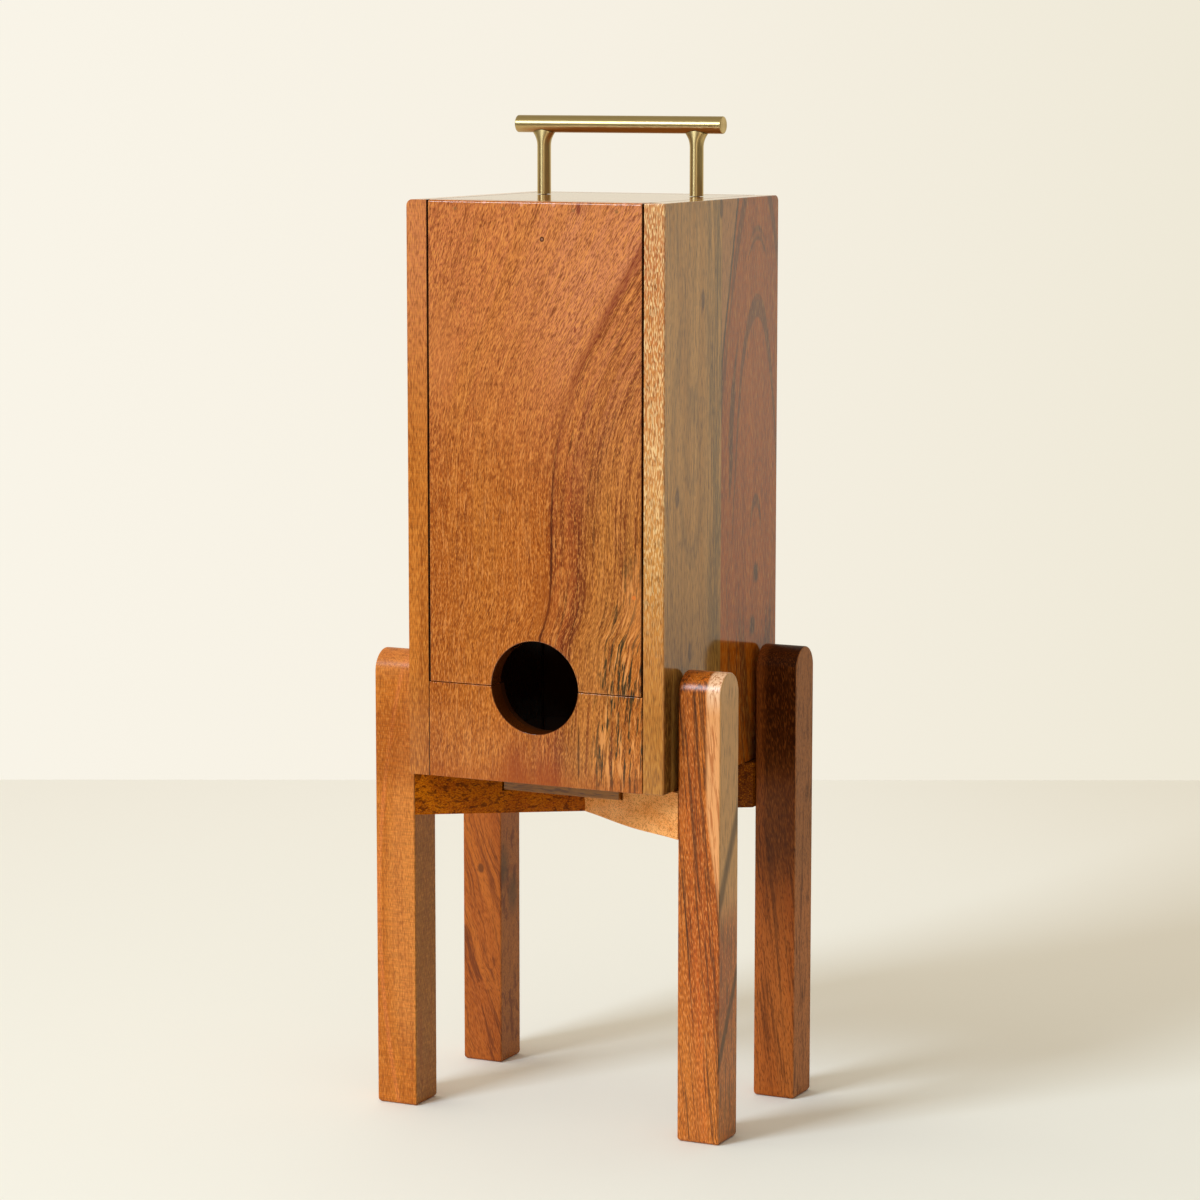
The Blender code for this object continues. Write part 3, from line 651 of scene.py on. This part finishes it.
for middle, often, low, amount, seed in (((0, 0.060, 0.370), 150, 0.56, 0.65, 4.0),
                                         ((0, 0.062, 0.375), 60, 0.60, 0.8, 11.0)):
    arches = right_wood.rings(middle, 5, often, low, low + 0.05, seed)
    rear_tone = right_wood.mix(right_wood.times(arches, amount), rear_tone, paint(84, 50, 30))
wedge_edge = right_wood.math("SUBTRACT", right_wood.times(right_wood.side(2), wedge_slope), wedge_start)
into_wedge = right_wood.math("SUBTRACT", wedge_edge, board_depth)
rear_tone = right_wood.mix(right_wood.near_line(into_wedge, 0.0035, 0.001), rear_tone, paint(82, 54, 30))
rear_tone = right_wood.mix(right_wood.ease(into_wedge, 0.000, 0.0015), rear_tone, paint(186, 126, 72))
right_wood.colour = right_wood.mix(rear, right_wood.colour, rear_tone)
right_wood.tint(right_wood.spots(rear_knots, 0.0060, 1.6, axis=1), paint(70, 44, 30), 0.8)
right_wood.tint(right_wood.spots(small_knots, 0.0040, 2.4, axis=1), paint(72, 44, 34), 0.75)
# Painted shade: a dark strip on the front board just in front of the front right leg, where the leg shades it.
painted_leg_shade = right_wood.times(right_wood.ease(board_depth, -0.082, -0.088), right_wood.fade(0.342, 0.326))
right_wood.tint(painted_leg_shade, paint(48, 26, 4), 0.8)
edge_face = right_wood.ease(board_depth, -0.0965, -0.0985)
up_the_edge = right_wood.add("MapRange", {0: right_wood.side(2), 1: cabinet_low, 2: cabinet_high}).outputs[0]
edge_tone = right_wood.ramp(up_the_edge, (
    (0.0, paint(170, 110, 44)), (0.12, paint(174, 112, 50)), (0.24, paint(188, 122, 60)),
    (0.41, paint(194, 133, 70)), (0.58, paint(200, 136, 81)), (0.75, paint(192, 121, 69)),
    (0.9, paint(186, 115, 70)), (1.0, paint(194, 130, 83)),
))
right_wood.colour = right_wood.mix(edge_face, right_wood.colour, edge_tone)
right_wood.speckle(right_wood.pore, paint(214, 156, 76), 0.5, 0.35, 1700, 150)
# Painted highlights: pale glints on the upper front edge, where the lacquer catches the light.
painted_glints = right_wood.ease(right_wood.noise(1900, 260, 0.0, 9.0), 0.50, 0.66)
painted_glints = right_wood.times(painted_glints, right_wood.times(edge_face, right_wood.fade(0.30, 0.48)))
right_wood.tint(painted_glints, paint(255, 224, 164), 0.62)
# Painted shade on the inner face and the groove.
right_wood.paint_hidden_shade(right_wood.math("LESS_THAN", right_wood.side(0), inside_edge))
finish_piece(right_side, right_wood.lacquer(), "side_wood", "cabinet", "right_side_panel")


# Top, back and floor
# Flat boards between the sides. The top's grain runs from side to side and its lacquer is
# glossy. The floor carries the carton and only shows through the tap hole or from below.
def flat_board(name, node, easing=side_easing):
    """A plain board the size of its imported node, with sanded edges."""
    low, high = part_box(node)
    board = add_block(name, low, high)
    sand(board, easing)
    return board


level_turn = (0, math.pi / 2, 0)
top_board = flat_board("top_board", "top_panel")
top_wood = acacia("top_acacia", paint(146, 80, 26), paint(176, 110, 48), paint(92, 52, 20),
                  paint(84, 48, 24), turn=level_turn, seed=12.0)
top_wood.streak(paint(110, 66, 32), 0.7, 260, 6, 0.54, 0.60, 2.0)
top_wood.speckle(top_wood.pore, top_wood.fibre)
finish_piece(top_board, top_wood.lacquer(coat=1.0, gloss=0.07), "board_wood", "cabinet", "top_panel")

back_low, back_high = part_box("back_panel")
back_board = add_block("back_board", back_low, back_high)
round_off(back_board, lambda at: at.y > back_high.y - near and at.z > back_high.z - near,
          top_rounding, rounding_steps)
sand(back_board, side_easing)
back_wood = acacia("back_acacia", paint(160, 92, 44), paint(184, 116, 60), paint(112, 60, 30),
                   paint(84, 42, 20), seed=15.0)
back_wood.speckle(back_wood.pore, back_wood.fibre)
# Painted shade on the inner face.
back_wood.paint_hidden_shade(back_wood.math("LESS_THAN", back_wood.side(1), back_low.y + near))
back_material = back_wood.lacquer()
finish_piece(back_board, back_material, "board_wood", "cabinet", "back_panel")

floor_board = flat_board("floor_board", "floor_panel")
floor_wood = acacia("floor_acacia", paint(150, 88, 42), paint(172, 108, 56), paint(104, 56, 28),
                    paint(80, 40, 18), turn=level_turn, seed=16.0)
floor_wood.speckle(floor_wood.pore, floor_wood.fibre)
# Painted shade on the floor's hidden faces.
floor_wood.paint_hidden_shade(floor_wood.math("GREATER_THAN", floor_wood.side(0), -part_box("floor_panel")[1].z + near))
finish_piece(floor_board, floor_wood.lacquer(), "board_wood", "cabinet", "floor_panel")


# Locating plate
# A small board screwed under the floor. It drops into the recess in the stand's arms and
# keeps the cabinet from sliding.
plate = flat_board("locating_board", "locating_plate")
plate_wood = acacia("plate_acacia", paint(134, 80, 18), paint(146, 94, 28), paint(98, 55, 14),
                    paint(80, 46, 22), turn=level_turn, seed=18.0)
plate_wood.speckle(plate_wood.pore, plate_wood.fibre)
finish_piece(plate, plate_wood.lacquer(), "board_wood", "cabinet", "locating_plate")


# Handle
# A solid brass bar on two turned brass posts, brushed and lacquered. Each post is fixed from
# inside the cabinet by a screw, and flares at its top into a saddle that holds the bar.
bar_low, bar_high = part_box("handle_bar")
bar_middle = (bar_low + bar_high) / 2
bar_radius = (bar_high.z - bar_low.z) / 2
bar_sides = 96
bar_chamfer = 0.0007
post_radius = 0.0050
post_spread = 0.0036
flare_height = 0.0100
flare_steps = 14
flare_power = 2.2
saddle_gap = 0.0003
facing_up = 0.9

bpy.ops.object.select_all(action="DESELECT")
bpy.ops.mesh.primitive_cylinder_add(vertices=bar_sides, radius=bar_radius, depth=bar_high.x - bar_low.x,
                                    location=bar_middle, rotation=(0, math.pi / 2, 0))
bar = bpy.context.object
bar.name = "brass_bar"
bpy.ops.object.transform_apply(location=True, rotation=True, scale=True)
sand(bar, bar_chamfer)


def turned_post(name, node):
    """A round post that widens along the bar near its top, and is saddled to fit round it."""
    low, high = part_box(node)
    middle = (low + high) / 2
    straight = bar_middle.z - low.z - bar_radius - flare_height
    bpy.ops.object.select_all(action="DESELECT")
    bpy.ops.mesh.primitive_cylinder_add(vertices=bar_sides, radius=post_radius, depth=straight,
                                        location=(middle.x, middle.y, low.z + straight / 2))
    post = bpy.context.object
    post.name = name
    bpy.ops.object.transform_apply(location=True, rotation=True, scale=True)
    bpy.ops.object.mode_set(mode="EDIT")
    bpy.ops.mesh.select_mode(type="FACE")
    bpy.ops.mesh.select_all(action="DESELECT")
    bpy.ops.object.mode_set(mode="OBJECT")
    for face in post.data.polygons:
        face.select = face.normal.z > facing_up
    bpy.ops.object.mode_set(mode="EDIT")
    reach = post_radius
    level = low.z + straight
    for step in range(1, flare_steps + 1):
        wider = post_radius + post_spread * (step / flare_steps) ** flare_power
        higher = low.z + straight + flare_height * step / flare_steps
        bpy.ops.mesh.extrude_region_move(TRANSFORM_OT_translate={"value": (0, 0, higher - level)})
        bpy.ops.transform.resize(value=(wider / reach, 1, 1), center_override=(middle.x, middle.y, higher))
        reach, level = wider, higher
    bpy.ops.mesh.extrude_region_move(TRANSFORM_OT_translate={"value": (0, 0, bar_radius)})
    bpy.ops.object.mode_set(mode="OBJECT")
    bpy.ops.object.select_all(action="DESELECT")
    bpy.ops.mesh.primitive_cylinder_add(vertices=bar_sides, radius=bar_radius + saddle_gap, depth=2 * through,
                                        location=(middle.x, bar_middle.y, bar_middle.z),
                                        rotation=(0, math.pi / 2, 0))
    carve(post, bpy.context.object)
    work_on(post)
    bpy.ops.object.shade_smooth_by_angle(angle=sharp_angle)
    return post


left_post = turned_post("brass_post_left", "handle_post_left")
right_post = turned_post("brass_post_right", "handle_post_right")

brass_colour = (0.64, 0.48, 0.21)
brass_shade = (0.52, 0.37, 0.15)
brass_roughness = 0.34
brass_brushing = 0.6
brass_cloud = 60.0


def turned_brass(name, axis):
    """Satin brass polished on a lathe, so highlights run along the axis."""
    material = bpy.data.materials.new(name)
    brass = Finish(material)
    at = brass.add("TexCoord").outputs["Object"]
    cloud = brass.add("TexNoise", {"Vector": at, "Scale": brass_cloud, "Detail": 3.0}).outputs[0]
    tone = brass.mix(brass.times(cloud, 0.5), brass_colour, brass_shade)
    tangent = brass.add("CombineXYZ", {0: axis[0], 1: axis[1], 2: axis[2]}).outputs[0]
    shader = brass.add("BsdfPrincipled", {"Base Color": tone, "Metallic": 1.0,
                                          "Roughness": brass_roughness, "Anisotropic": brass_brushing,
                                          "Tangent": tangent})
    brass.add("OutputMaterial", {0: shader.outputs[0]})
    return material


bar_brass = turned_brass("bar_brass", (1, 0, 0))
post_brass = turned_brass("post_brass", (0, 0, 1))
finish_piece(bar, bar_brass, "brass", "cabinet", "handle_bar")
finish_piece(left_post, post_brass, "brass", "cabinet", "handle_post_left")
finish_piece(right_post, post_brass, "brass", "cabinet", "handle_post_right")


# Legs
# Four square legs, each a solid piece with a half round top and sanded edges. No two were
# cut from the same plank: one is curly, one striped with black, one red brown with a painted
# shadow over its upper half, and one red.
leg_easing = 0.0011
leg_easing_steps = 4
foot_easing = 0.0026
foot_steps = 3
crown_steps = 24
left_leg_side = (-0.1052, -0.1048)
right_leg_side = (0.1358, 0.1362)
leg_gloss = 0.28


def leg(name, node):
    """A post with an eased foot, whose top edges at front and back are rounded until they meet."""
    low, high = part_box(node)
    post = add_block(name, low, high)
    round_off(post, lambda at: at.z < low.z + near, foot_easing, foot_steps)
    half_depth = (high.y - low.y) / 2
    for edge_y in (low.y, high.y):
        round_off(post, lambda at: abs(at.y - edge_y) < near and at.z > high.z - near,
                  half_depth - near, crown_steps // 2)
    sand(post, leg_easing, leg_easing_steps)
    return post


# Front left: curly, with a pink line that bows toward the outside halfway up.
bow_height = 0.15
bow_amount = 0.69
bow_place = 0.1343
curly_wood = acacia("leg_front_left_acacia", paint(178, 96, 28), paint(197, 115, 38), paint(148, 74, 20),
                    paint(108, 50, 12), seed=21.0)
from_middle = curly_wood.math("SUBTRACT", curly_wood.side(2), bow_height)
bow = curly_wood.times(curly_wood.times(from_middle, from_middle), bow_amount)
from_bow = curly_wood.math("SUBTRACT", curly_wood.math("ADD", curly_wood.side(0), bow_place), bow)
pale_part = curly_wood.times(curly_wood.ease(from_bow, 0.001, 0.014), curly_wood.fade(0.02, 0.07))
curly_wood.tint(pale_part, paint(208, 130, 64), 0.55)
curly_wood.tint(curly_wood.near_line(from_bow, 0.0026, 0.0006), paint(216, 118, 66), 0.4)
curly_wood.tint(curly_wood.fade(*left_leg_side, axis=0), paint(142, 96, 40), 0.8)
darker = curly_wood.times(curly_wood.fade(0.225, 0.250), curly_wood.fade(0.305, 0.285))
curly_wood.tint(darker, paint(154, 76, 8), 0.6)
curly_wood.tint(curly_wood.fade(0.310, 0.325), paint(220, 142, 78), 0.35)
curly_wood.speckle(curly_wood.pore, paint(228, 150, 72), 0.4, 0.35, 1900, 300)
curly_wood.streak(paint(140, 64, 18), 0.3, 620, 11, 0.54, 0.62, 5.0)
curly_wood.curl(0.13, 110, 1000)

# Front right: black stripes that lean, pale sapwood at its upper corner and a grey side with
# two slanting dark lines.
sapwood_edge = (0.1358, 0.1388)
sapwood_widening = 0.011
slash_slope = -0.50
striped_wood = acacia("leg_front_right_acacia", paint(170, 82, 16), paint(190, 102, 26), paint(146, 66, 18),
                      paint(84, 38, 12), seed=24.0, lean=0.08)
striped_wood.streak(paint(212, 98, 28), 0.5, 150, 5, 0.52, 0.66, 6.0)
striped_wood.tint(striped_wood.fade(0.11, 0.05), paint(210, 128, 50), 0.35)
striped_wood.speckle(striped_wood.pore, paint(236, 152, 80), 0.45, 0.5, 1900, 300)
striped_wood.streak(paint(52, 28, 14), 0.62, 420, 5, 0.55, 0.59, 4.0)
striped_wood.streak(paint(60, 28, 14), 0.7, 800, 9, 0.57, 0.62, 9.0)
sapwood = striped_wood.times(striped_wood.fade(0.15, 0.25), sapwood_widening)
sapwood = striped_wood.ease(striped_wood.math("ADD", striped_wood.side(0), sapwood), *sapwood_edge)
striped_wood.tint(sapwood, paint(234, 166, 106), 0.88)
striped_wood.tint(striped_wood.times(sapwood, striped_wood.fade(0.305, 0.325)), paint(250, 208, 168), 0.8)
striped_wood.tint(striped_wood.times(sapwood, striped_wood.streaks(900, 40, 0.50, 0.60, 2.0)),
                  paint(176, 100, 48), 0.8)
on_side = striped_wood.fade(*right_leg_side, axis=0)
striped_wood.tint(striped_wood.times(on_side, striped_wood.fade(0.14, 0.20)), paint(204, 155, 96), 0.85)
striped_wood.tint(striped_wood.times(on_side, striped_wood.streaks(900, 26, 0.50, 0.62, 6.0)),
                  paint(130, 96, 56), 0.6)
climb = striped_wood.math("ADD", striped_wood.side(1), striped_wood.times(striped_wood.side(2), slash_slope))
for offset, reach in ((0.170, 0.0080), (0.113, 0.0050)):
    slash = striped_wood.near_line(striped_wood.math("ADD", climb, offset), reach, 0.0015)
    striped_wood.tint(striped_wood.times(on_side, slash), paint(78, 60, 34), 0.75)

# Back left: red, with the grain swirling round a knot and two stains on its side.
knot = (-0.1215, 0.1500)
side_stains = ((0.0570, 0.1520), (0.0720, 0.1280))
red_wood = acacia("leg_back_left_acacia", paint(162, 83, 28), paint(184, 101, 36), paint(122, 58, 20),
                  paint(88, 40, 16), seed=27.0, wander=0.006, along=18, lean=0.34)
swirl = red_wood.times(red_wood.rings((knot[0], 0, knot[1]), 1.6, 330, 0.50, 0.60, 3.0),
                       red_wood.spots((knot,), 0.0240, 1.8, edge=0.3))
on_side = red_wood.fade(*left_leg_side, axis=0)
red_wood.tint(on_side, paint(164, 112, 58), 0.5)
red_wood.speckle(red_wood.pore, paint(196, 114, 54), 0.4, 0.35, 1900, 260)
red_wood.tint(swirl, paint(104, 50, 22), 0.7)
red_wood.streak(paint(100, 46, 18), 0.65, 150, 12, 0.555, 0.61, 14.0)
red_wood.streak(paint(92, 44, 18), 0.5, 560, 20, 0.56, 0.64, 18.0)
red_wood.tint(red_wood.spots((knot,), 0.0034, 1.4), paint(98, 54, 26), 0.8)
stains = red_wood.spots(side_stains, 0.0120, 2.0, edge=0.2, axis=1)
red_wood.tint(red_wood.times(on_side, stains), paint(84, 66, 42), 0.6)

# Back right: red brown with dark streaks. Its upper half is painted dark as the cabinet's shadow.
dark_and_shaded_wood = acacia("leg_back_right_acacia", paint(160, 84, 32), paint(172, 96, 40), paint(118, 60, 22),
                   paint(70, 34, 12), seed=30.0, lean=0.12)
# Painted shadow: the cabinet's shadow over the upper half is painted dark, darkest at the top of the front face,
# and the side face is tinted lighter again.
dark_and_shaded_wood.tint(dark_and_shaded_wood.fade(0.14, 0.19), paint(82, 44, 8), 0.75)
shaded = dark_and_shaded_wood.times(dark_and_shaded_wood.fade(0.22, 0.27), dark_and_shaded_wood.fade(*reversed(right_leg_side), axis=0))
dark_and_shaded_wood.tint(shaded, paint(46, 18, 3), 0.8)
dark_and_shaded_wood.tint(dark_and_shaded_wood.fade(0.1150, 0.1080, axis=0), paint(196, 108, 48), 0.3)
dark_and_shaded_wood.tint(dark_and_shaded_wood.fade(*right_leg_side, axis=0), paint(206, 138, 86), 0.5)
dark_and_shaded_wood.speckle(paint(40, 18, 6), paint(176, 102, 48), 0.45, 0.3, 1900, 280)
dark_and_shaded_wood.streak(paint(76, 40, 18), 0.5, 230, 9, 0.54, 0.62, 6.0)
dark_and_shaded_wood.streak(paint(56, 28, 12), 0.5, 640, 22, 0.56, 0.63, 11.0)

for place, wood, slot, coat in (("front_left", curly_wood, "leg_wood", 0.5),
                                ("front_right", striped_wood, "leg_wood", 0.7),
                                ("back_left", red_wood, "leg_wood", 0.5),
                                ("back_right", dark_and_shaded_wood, "dark_leg_wood", 0.35)):
    lacquered = wood.lacquer(coat=coat, gloss=leg_gloss)
    finish_piece(leg("post_" + place, "leg_" + place), lacquered, slot, "stand", "leg_" + place)


# Cross arms
# Two bars that cross corner to corner under the cabinet, half lapped and screwed in the
# middle, recessed on top for the locating plate and dowelled into the legs.
arm_slant = math.radians(32.37)
arm_thickness = 0.030
arm_easing = 0.0012
arm_easing_steps = 2
arm_coat = 0.2
arm_overlong = 0.30
lap_gap = 0.0002
plate_gap = 0.0010
upper_belly = 0.0015
belly_cuts = 24


def slanted_block(name, slant, low_z, high_z, thickness=arm_thickness):
    """A long bar through the middle of the stand, turned in plan."""
    block = add_block(name, (-arm_overlong / 2, -thickness / 2, low_z),
                      (arm_overlong / 2, thickness / 2, high_z))
    bpy.ops.transform.rotate(value=-slant, orient_axis="Z", center_override=(0, 0, 0))
    bpy.ops.object.transform_apply(location=True, rotation=True, scale=True)
    return block


def cross_arm(name, node, slant, belly, lap_low, lap_high):
    """An arm cut to lie flat against both legs, with a belly, a recess for the plate and half a lap."""
    low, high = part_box(node)
    arm = slanted_block(name, slant, low.z, high.z)
    bpy.ops.object.mode_set(mode="EDIT")
    for end_x, outward in ((low.x, -1), (high.x, 1)):
        bpy.ops.mesh.select_all(action="SELECT")
        bpy.ops.mesh.bisect(plane_co=(end_x, 0, 0), plane_no=(outward, 0, 0), use_fill=True, clear_outer=True)
    for cut in range(1, belly_cuts):
        bpy.ops.mesh.select_all(action="SELECT")
        bpy.ops.mesh.bisect(plane_co=(low.x + (high.x - low.x) * cut / belly_cuts, 0, 0), plane_no=(1, 0, 0))
    bpy.ops.object.mode_set(mode="OBJECT")
    for spot in arm.data.vertices:
        if spot.co.z < low.z + near:
            spot.co.z -= belly * math.sin(math.pi * abs(spot.co.x) / high.x) ** 2
    plate_low, plate_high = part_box("locating_plate")
    gap = Vector((plate_gap, plate_gap, plate_gap / 2))
    carve(arm, add_block("recess", plate_low - gap, plate_high + gap + Vector((0, 0, through))))
    carve(arm, slanted_block("lap", -slant, lap_low, lap_high, arm_thickness + 2 * lap_gap))
    sand(arm, arm_easing, arm_easing_steps)
    return arm


arm_low, arm_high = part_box("cross_arm_lower")
lap_level = (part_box("locating_plate")[0].z + arm_low.z) / 2
lower_arm = cross_arm("arm_lower", "cross_arm_lower", arm_slant, 0, lap_level, arm_high.z + through)
upper_arm = cross_arm("arm_upper", "cross_arm_upper", -arm_slant, upper_belly, arm_low.z - through,
                      lap_level + lap_gap)

lower_arm_wood = acacia("arm_lower_acacia", paint(158, 78, 6), paint(178, 96, 9), paint(96, 44, 5),
                        paint(70, 34, 8), turn=level_turn, seed=33.0, wander=0.006, along=12)
# Painted shade: the arm's back right end is painted darker, where the cabinet shades it.
lower_arm_wood.tint(lower_arm_wood.fade(0.060, 0.085), paint(80, 40, 4), 0.7)
lower_arm_wood.speckle(lower_arm_wood.pore, paint(206, 128, 24), 0.45, 0.35, 1600, 110)
lower_arm_wood.streak(paint(74, 34, 4), 0.7, 330, 12, 0.55, 0.60, 3.0)
lower_arm_wood.streak(paint(82, 38, 5), 0.55, 620, 26, 0.55, 0.62, 7.0)

upper_arm_wood = acacia("arm_upper_acacia", paint(232, 154, 84), paint(242, 172, 104), paint(184, 108, 52),
                        paint(112, 60, 26), turn=level_turn, seed=34.0, wander=0.006, along=12)
upper_arm_wood.speckle(upper_arm_wood.pore, paint(244, 188, 128), 0.45, 0.45, 1600, 110)
upper_arm_wood.streak(paint(156, 92, 44), 0.5, 560, 30, 0.55, 0.62, 9.0)
finish_piece(lower_arm, lower_arm_wood.lacquer(coat=arm_coat), "arm_wood", "stand", "cross_arm_lower")
finish_piece(upper_arm, upper_arm_wood.lacquer(coat=arm_coat), "arm_wood", "stand", "cross_arm_upper")


# Hardware
# Beech dowels, zinc plated countersunk screws, and the handle's two machine screws with
# their washers. All of it is inside or underneath.
beech = acacia("beech", paint(206, 164, 112), paint(220, 184, 136), paint(186, 142, 94),
               paint(160, 116, 74), turn=level_turn, seed=36.0)
beech.speckle(beech.pore, beech.fibre, 0.3, 0.3)
dowel_wood = beech.lacquer(coat=0.0)
zinc_cloud = 400.0
zinc_roughness = (0.28, 0.42)
steel_material = bpy.data.materials.new("zinc_plate")
steel = Finish(steel_material)
steel_at = steel.add("TexCoord").outputs["Object"]
steel_cloud = steel.add("TexNoise", {"Vector": steel_at, "Scale": zinc_cloud, "Detail": 3.0})
steel_rough = steel.ease(steel_cloud.outputs[0], 0.3, 0.7, *zinc_roughness)
steel_tone = steel.mix(steel_cloud.outputs[0], paint(170, 172, 176), paint(196, 196, 198))
steel_shader = steel.add("BsdfPrincipled", {"Base Color": steel_tone, "Metallic": 1.0, "Roughness": steel_rough})
steel.add("OutputMaterial", {0: steel_shader.outputs[0]})
for name, part in nodes.items():
    for kind, material in (("dowel", dowel_wood), ("screw", steel_material), ("washer", steel_material)):
        if kind in name:
            part.data.materials.clear()
            part.data.materials.append(material)
